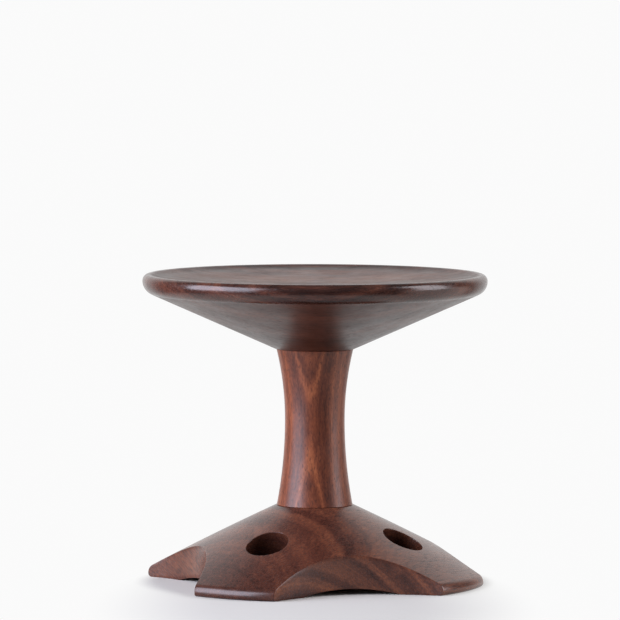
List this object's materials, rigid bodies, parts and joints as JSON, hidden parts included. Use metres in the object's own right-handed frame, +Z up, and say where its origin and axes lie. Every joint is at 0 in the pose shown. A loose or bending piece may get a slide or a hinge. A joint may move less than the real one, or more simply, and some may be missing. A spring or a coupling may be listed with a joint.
{
  "type": "wooden stool",
  "caption": "Low turned hardwood stool: dished round seat on a waisted column over a round base scalloped into feet with round holes.",
  "frame": {"origin": "centre of the base on the floor, on the column's axis", "axes": "+Z up along the column, the feet point along +X, -X, +Y and -Y"},
  "size_m": [0.4, 0.4, 0.358],
  "materials": {
    "seat_timber": "dark red-brown hardwood, oiled and polished to a satin gloss",
    "column_timber": "red-brown hardwood with upright grain, satin gloss",
    "base_timber": "dark red-brown figured hardwood, satin gloss",
    "wedge_timber": "dark hardwood wedge, sanded"
  },
  "bodies": {
    "root": {"seat": "seat_timber", "column": "column_timber", "base": "base_timber", "seat_tenon_wedge": "wedge_timber", "base_tenon_wedge": "wedge_timber"}
  },
  "joints": []
}
